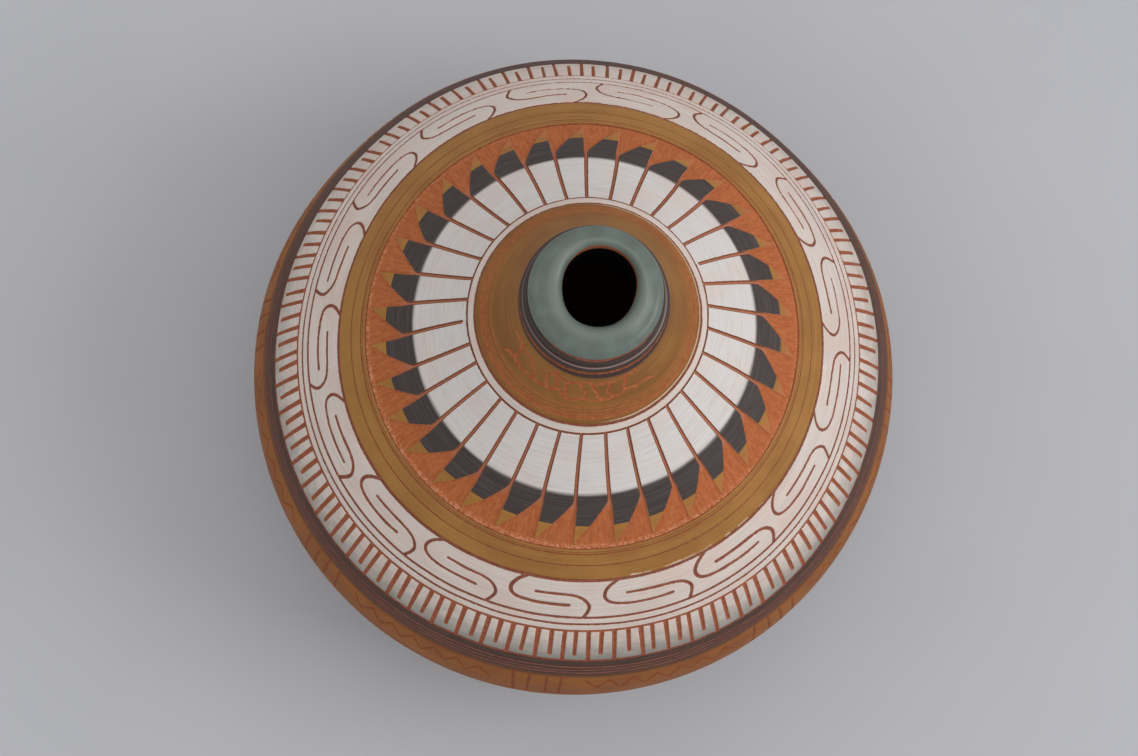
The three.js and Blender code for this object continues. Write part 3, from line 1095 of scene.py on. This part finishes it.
def feather_face(index):
    """One feather. Across it run a sunk skirt, the slip, and a skirt again. One edge is straight,
    beside its cut. The other follows the next cut to the shoulder, and then comes in to the
    point: its width falls as (1 - q)^slant, where q is the share of the way to the point."""
    following = (index + 1) % FEATHER_COUNT
    reach = np.concatenate([
        [-0.28, -0.2, -0.1],
        np.linspace(0, 1.6, 9),
        np.linspace(2.2, 19.5, 20),
        np.linspace(20, FEATHER_LENGTH - 0.3, 40),
        FEATHER_LENGTH + np.array([-0.1, 0.05, 0.15]),
    ])
    end_skirt = np.zeros(len(reach))
    end_skirt[:3] = (0.5, 0.35, 0.1)
    end_skirt[-3:] = (0.15, 0.5, 0.85)
    shift = line_round(straight_cuts[index] + pitch / 2, root_cut) - root_cut.s
    s = feather_start + reach + shift * (1 - step_between(reach, 0, 12))
    radius = wall_point(s)[0]
    own = half_cut(reach, cut_starts[index]) / radius
    other = half_cut(reach, cut_starts[following]) / radius
    straight = cut_turn(index, reach) + own
    next_cut = cut_turn(following, reach) + (TURN if following == 0 else 0)
    full = next_cut - other - straight
    v = np.clip(reach / FEATHER_LENGTH, 0, 1)
    q = np.clip((v - shoulders[index]) / (0.985 - shoulders[index]), 0, 1)
    width = np.maximum(full * (1 - q) ** slants[index], 0.32 / radius)
    share_across = np.array([0, 0.03, 0.08, 0.18, 0.3, 0.42, 0.54, 0.66, 0.78, 0.88, 0.95, 0.98, 1])
    own_size, other_size = np.clip(np.stack([own, other]) * radius / (0.5 * FEATHER_CUT), 0, 1)
    left, left_carved, left_depth = skirt(own_size)
    right, right_carved, right_depth = (
        part[:, ::-1] for part in skirt(np.maximum(other_size, q > 0))
    )
    body = width[:, None] * share_across
    across = np.hstack([-left / radius[:, None], body, body[:, -1:] + right / radius[:, None]])
    face = Face(straight[:, None] + across, s[:, None])
    inside = np.minimum(share_across, 1 - share_across) * (width * radius)[:, None]
    face.carved = np.hstack([left_carved, np.clip(-inside / EDGE_REACH, -1, 0), right_carved])
    face.depth = np.hstack([left_depth, np.zeros(body.shape), right_depth])
    thin = np.clip(0.55 + 0.75 * np.cos(straight_cuts[index] - RUBBED_TURN), 0, 0.9)
    rubbed = thin * step_between(reach, *RUBBED_POINT)
    face.wash_and_highlight = np.repeat(rubbed[:, None], face.s.shape[1], axis=1)
    near_end = np.maximum(-reach, reach - FEATHER_LENGTH) / EDGE_REACH
    face.carved = np.maximum(face.carved, np.clip(near_end, -1, 1)[:, None])
    face.depth = np.maximum(face.depth, end_skirt[:, None])
    return face


def make_feather(index):
    """A closed tile: the face, a back of the same outline, and caps at both ends."""
    face = feather_face(index)
    rows, columns = face.s.shape
    back = back_face(face.phi[:, ::-1], face.s[:, ::-1])
    soft_ripple(face)
    places, fields = joined(face, back, axis=1)
    fields["reach"] = np.hstack([face.s, back.s]) - feather_start
    sides = quads_over(rows, 2 * columns).tolist()
    j = np.arange(columns - 1)
    behind = 2 * columns - 1 - j
    last = (rows - 1) * 2 * columns
    first_cap = np.stack([j, j + 1, behind - 1, behind], axis=1)
    last_cap = last + np.stack([j + 1, j, behind, behind - 1], axis=1)
    faces = sides + first_cap.tolist() + last_cap.tolist()
    number = f"{index + 1:02d}"
    piece_name = "carved_feather_" + number
    make_piece(piece_name, places, faces, fields, feather_slip, ["feather_" + number])


for feather in range(FEATHER_COUNT):
    make_feather(feather)


def make_ground():
    """The clay that shows between the feathers: a ring scraped a little unevenly, with crumbs
    of clay left along its outer edge."""
    rng = np.random.default_rng(111)
    phi = turns(1100)
    first = line_round(phi, root_cut) - 0.1
    last = line_round(phi, ground_end) + 0.12
    rows = np.concatenate([
        np.linspace(0, 0.5, 16, endpoint=False),
        np.linspace(0.5, 0.93, 34, endpoint=False),
        np.linspace(0.93, 1, 14),
    ])[:, None]
    face = Face(phi, first + rows * (last - first))
    noise = rng.random(face.s.shape)
    soft = noise + np.roll(noise, 1, 1) + np.roll(noise, 1, 0) + np.roll(noise, (1, 1), (0, 1))
    ridges = wander(phi, 113, 1.0, 300)
    face.depth = GROUND_DEPTH + 0.03 * ridges + 0.02 * (soft - 2)
    to_edge = last - face.s
    crumbled = 0.58 + 0.42 * np.cos(phi - math.radians(245))
    face.worn_and_highlight = step_between(to_edge, 1.8, 0.5) * crumbled
    rise = 0.14 * step_between(soft, 1.4, 2.8) + 0.16 * step_between(to_edge, 1.0, 0)
    face.depth = face.depth - face.worn_and_highlight * rise
    face.wash_and_highlight = 1 - step_between(face.s, feather_start + 19.5, feather_start + 22.5)
    places, fields = joined(face, ring_back(face))
    make_shell("scraped_ground", places, fields, scraped_clay, "red_clay", "clay_body")


make_ground()


# Neck, lip and clay

roll_centre = np.array([RIM_RADIUS - ROLL_RADIUS, neck_root[1] + NECK_RISE])
crest_centre = np.array([MOUTH_RADIUS + CREST_RADIUS, cad_high[2] / MM - CREST_RADIUS])
undercut = math.degrees(
    math.acos((NECK_CLAY_RADIUS - roll_centre[0]) / (ROLL_RADIUS - CLAY_DEPTH))
)


def lip_line(depth, steps, last=180):
    """The lip: round the outer roll, over a slope, and round the crest toward the mouth as far
    as the direction last. The slope touches both rounds where depth is 0."""
    roll = ROLL_RADIUS - depth
    crest = CREST_RADIUS - depth
    across = roll_centre - crest_centre
    slope = math.degrees(
        math.atan2(across[1], across[0]) + math.acos((crest - roll) / np.linalg.norm(across))
    )
    outer = arc(roll_centre, roll, -undercut, slope, steps)
    inner = arc(crest_centre, crest, slope, last, steps)
    t = np.linspace(0, 1, steps // 3)[1:-1, None]
    middle = outer[-1] + t * (inner[0] - outer[-1])
    return np.vstack([outer, middle, inner])


def out_of_round(outline, phi):
    """Moves an outline, given for each column, where the hand drew the mouth wider, off centre,
    a little oval and a little square. The shift is whole in the mouth, and fades smoothly over
    the crest and down the bore."""
    to_mouth = step_between(outline[..., 0], 12.6, 8.0)
    to_top = step_between(outline[..., 1], neck_root[1] - 6, crest_centre[1])
    hand = (
        MOUTH_WIDENING
        + MOUTH_OFF_CENTRE * np.cos(phi - MOUTH_OFF_CENTRE_TURN)
        + MOUTH_OVAL * np.cos(2 * (phi - MOUTH_OVAL_TURN))
        + MOUTH_SQUARE * np.cos(4 * (phi - MOUTH_SQUARE_TURN))
        + wander(phi, 122, 0.08, 6)
    )
    shift = to_mouth * to_top * hand
    return np.stack([outline[..., 0] + shift, outline[..., 1] + 0 * shift], axis=-1)


def make_lip():
    """The glazed lip, which ends in the mouth with a bare line, wider on one side. The slope
    between the roll and the crest is a little hollow."""
    phi = turns(NECK_COLUMNS)
    face = lip_line(0, 20, 173)
    back = lip_line(0.5, 20, 173)[::-1]
    s = np.concatenate([along_outline(face), along_outline(back)])
    outline = np.vstack([face, back])[:, None] * np.ones((1, NECK_COLUMNS, 1))
    dip = 0.14 * np.exp(-(((outline[..., 0] - 11.9) / 0.9) ** 2))
    outline[..., 1] -= dip * (outline[..., 1] > roll_centre[1])
    places = turned_round(out_of_round(outline, phi), NECK_COLUMNS)
    fields = plain_fields(places, s[:, None])
    # Painted highlight: a paler ring along the top of the crest
    crest_highlight = np.exp(-(((outline[..., 0] - 9.9) / 1.1) ** 2))
    fields["wash_and_highlight"] = 0.6 * crest_highlight * (outline[..., 1] > crest_centre[1])
    bare_top = crest_centre[1] + 0.75 + 0.35 * np.cos(phi - MOUTH_OFF_CENTRE_TURN)
    bare_top = bare_top + wander(phi, 123, 0.25, 11)
    bare = np.clip((bare_top - outline[..., 1]) / 0.25, -1, 1)
    fields["worn_and_highlight"] = np.where(outline[..., 0] < crest_centre[0], bare, -1.0)
    make_shell("glazed_lip", places, fields, celadon_glaze, "celadon_glaze", "rim_glaze")


def make_bead(name, node, depth, arris, bare_from):
    """A half-round bead of dark slip: its outline bulges from the neck by depth. One field marks a
    pale line at the direction arris, a painted highlight that is stronger on one side of the jar,
    and the carved field a thread of bare clay above it that shows on one side. Both are given as
    directions round the outline in degrees from level."""
    low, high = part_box(node)
    foot, top = low[2] / MM, high[2] / MM
    edge = high[0] / MM - depth
    slope = np.radians(np.linspace(-90, 90, 37))
    middle = (foot + top) / 2
    half = (top - foot) / 2
    bulge = np.cos(slope) ** 0.8
    face = np.stack([edge + 0.45 + (depth - 0.45) * bulge, middle + half * np.sin(slope)], axis=1)
    back = np.array([(edge - 0.2, top), (edge - 0.2, middle), (edge - 0.2, foot)])
    outline = np.vstack([face, back])
    phi = turns(NECK_COLUMNS)
    places = turned_round(outline, NECK_COLUMNS)
    fields = plain_fields(places, along_outline(outline)[:, None])
    angle = np.concatenate([np.degrees(slope), [180, 180, 180]])[:, None]
    # Painted highlight: a pale line along the bead's shoulder, stronger on one side
    pale = np.exp(-(((angle - arris - wander(phi, 131, 2.5, 6)) / 5) ** 2))
    fields["wash_and_highlight"] = pale * (0.6 + 0.35 * np.cos(phi - OFF_CENTRE_TURN))
    hidden = 25 * (1 - np.cos(phi - OFF_CENTRE_TURN))
    fields["carved"] = np.clip((angle - bare_from - hidden - wander(phi, 133, 7, 9)) / 10, -1, 1)
    make_shell(name, places, fields, bead_slip, "dark_slip", node)


def jar_outline():
    """The outline of the clay, from the axis to the axis: foot ring, wall, neck and lip outside,
    then the bore and the hollow. Also the row of the outline where the inside starts."""
    s = np.linspace(wall_length, 0.3, 110)
    depth = CLAY_DEPTH + 0.25 * step_between(s, bowl_end - 1.5, bowl_end - 4)
    outside = np.stack(wall_point(s, depth), axis=1)
    inner_s = np.linspace(WALL_THICKNESS, wall_length, 70)
    inside = np.stack(wall_point(inner_s, CLAY_DEPTH + WALL_THICKNESS), axis=1)
    floor = FOOT_RECESS + FLOOR_THICKNESS
    kept = (inside[:, 1] > floor + WALL_THICKNESS / 2) & (inside[:, 0] > MOUTH_RADIUS + 1)
    inside = inside[kept]
    ring_radius = FOOT_RADIUS - FOOT_RING_WIDTH
    foot = [
        (0, FOOT_RECESS),
        (ring_radius - 8, FOOT_RECESS),
        (ring_radius - FOOT_CHAMFER, FOOT_RECESS),
        (ring_radius, 0),
        (FOOT_RADIUS, 0),
    ]
    foot = rounded([*foot, outside[0]], 0.5)[:-1]
    neck = [(NECK_CLAY_RADIUS, neck_root[1]), (NECK_CLAY_RADIUS, neck_root[1] + 3)]
    bore = MOUTH_RADIUS + CLAY_DEPTH
    throat = [(bore, height) for height in np.linspace(crest_centre[1] - 1, neck_root[1] - 1.5, 7)]
    throat = np.vstack([throat[:-2], rounded([*throat[-2:], *inside[:2]], 1.5, 3)])
    hollow = np.vstack([throat, inside[2:]])
    floor_edge = inside[-1] - (WALL_THICKNESS, 0)
    floor_line = rounded([inside[-1], (floor_edge[0], floor), (0, floor)], 3, 5)[1:]
    outline = np.vstack([foot, outside, neck, lip_line(CLAY_DEPTH, 12), hollow, floor_line])
    return outline, len(foot) + len(outside) + len(neck) + 12


def make_jar():
    """The thrown clay: its outline turned about the axis, where both ends close in a fan."""
    outline, inside_from = jar_outline()
    columns = 360
    rings = turned_round(out_of_round(outline[1:-1, None], turns(columns)), columns)
    poles = [(0, 0, outline[0, 1]), (0, 0, outline[-1, 1])]
    places = np.vstack([rings.reshape(-1, 3), poles])
    last_row = len(outline) - 1
    row = np.append(np.repeat(np.arange(1, last_row), columns), (0, last_row))
    fields = plain_fields(places, along_outline(outline)[row])
    # Painted shade: the inside goes near-black up the bore
    fields["inside"] = (row >= inside_from) * step_between(outline[row, 1], *BORE_SHADE_HEIGHTS)
    faces = quads_over(len(outline) - 2, columns).tolist()
    faces = [face[::-1] for face in faces]
    count = len(places) - 2
    j = np.arange(columns)
    following = (j + 1) % columns
    last = count - columns
    faces += np.stack([np.full(columns, count), following, j], axis=1).tolist()
    faces += np.stack([np.full(columns, count + 1), last + j, last + following], axis=1).tolist()
    make_piece("thrown_clay_jar", places, faces, fields, bare_clay, ["clay_body"])


make_lip()
make_bead("lower_neck_bead", "neck_bead_lower", 2.5, 52, 120)
make_bead("upper_neck_bead", "neck_bead_upper", 1.5, 200, 62)
make_jar()


# Floor, light and camera


def paper(tree):
    """Matt pale grey paper, with faint broad clouds."""
    return layered(tree, 0xABACB1, (grain(tree, 60), 0.3, 0.7, 1, 0xADAEB3)), 0.9


def make_floor():
    """A pale grey sheet, far wider than the jar."""
    size = 4000
    corners = np.array([(-size, -size, 0), (size, -size, 0), (size, size, 0), (-size, size, 0)])
    mesh = bpy.data.meshes.new("floor")
    mesh.from_pydata((corners * MM).tolist(), [], [(0, 1, 2, 3)])
    mesh.materials.append(make_material("grey_paper", paper))
    put_in_scene("floor", mesh)


def facing(right, up, back, place):
    """The matrix of a light or camera at a place, from its own three directions."""
    return Matrix([*zip(right, up, back, place), (0, 0, 0, 1)])


def make_light(name, place, size, power):
    """A square softbox that faces the jar."""
    lamp = bpy.data.lights.new(name, "AREA")
    lamp.shape = "SQUARE"
    lamp.size = size
    lamp.energy = power
    away = np.array(place) / np.linalg.norm(place)
    side = np.cross((0, 0, 1), away)
    side = side / np.linalg.norm(side)
    light = put_in_scene(name, lamp)
    light.matrix_world = facing(side, np.cross(away, side), away, place)


def make_world():
    """Soft light from all round. What the camera and reflections see is a pale wall."""
    world = bpy.data.worlds.new("studio")
    bpy.context.scene.world = world
    world.use_nodes = True
    tree = world.node_tree
    tree.nodes.clear()
    seen = add(tree, LARGER, add(tree, CAMERA_RAY), add(tree, GLOSSY_RAY))
    soft = add(tree, BACKGROUND, 0xFFFFFF, 0.9)
    wall = add(tree, BACKGROUND, 0xB4B5BA, 1.0)
    add(tree, WORLD_OUTPUT, add(tree, SHADER_BLEND, seen, soft, wall))


def make_camera():
    """The photograph's view, almost straight down. The jar's axis leans by a tilt, in a
    direction on the picture, and its foot stands at a place right, down and ahead."""
    tilt = math.radians(9.942)
    direction = math.radians(-77.884)
    foot = np.array([-0.3414, 6.2974, 671.001])
    axis = np.array([
        math.sin(tilt) * math.cos(direction),
        math.sin(tilt) * math.sin(direction),
        -math.cos(tilt),
    ])
    east = -np.cross(axis, (0, 0, 1))
    east = east / np.linalg.norm(east)
    north = np.cross(axis, east)
    turn = np.column_stack([east, north, axis])
    place = -turn.T @ foot * MM
    right, down, ahead = turn
    data = bpy.data.cameras.new("photo_view")
    data.sensor_width = 36
    data.lens = PHOTO_FOCAL_LENGTH / PHOTO_WIDTH * data.sensor_width
    data.clip_start = 0.01
    camera = put_in_scene("photo_view", data)
    camera.matrix_world = facing(right, -down, -ahead, place)
    bpy.context.scene.camera = camera


make_floor()
make_light("key_softbox", (1.15, 0.06, 1.0), 0.8, 8.3)
make_world()
make_camera()
bpy.context.scene.view_settings.view_transform = "Standard"
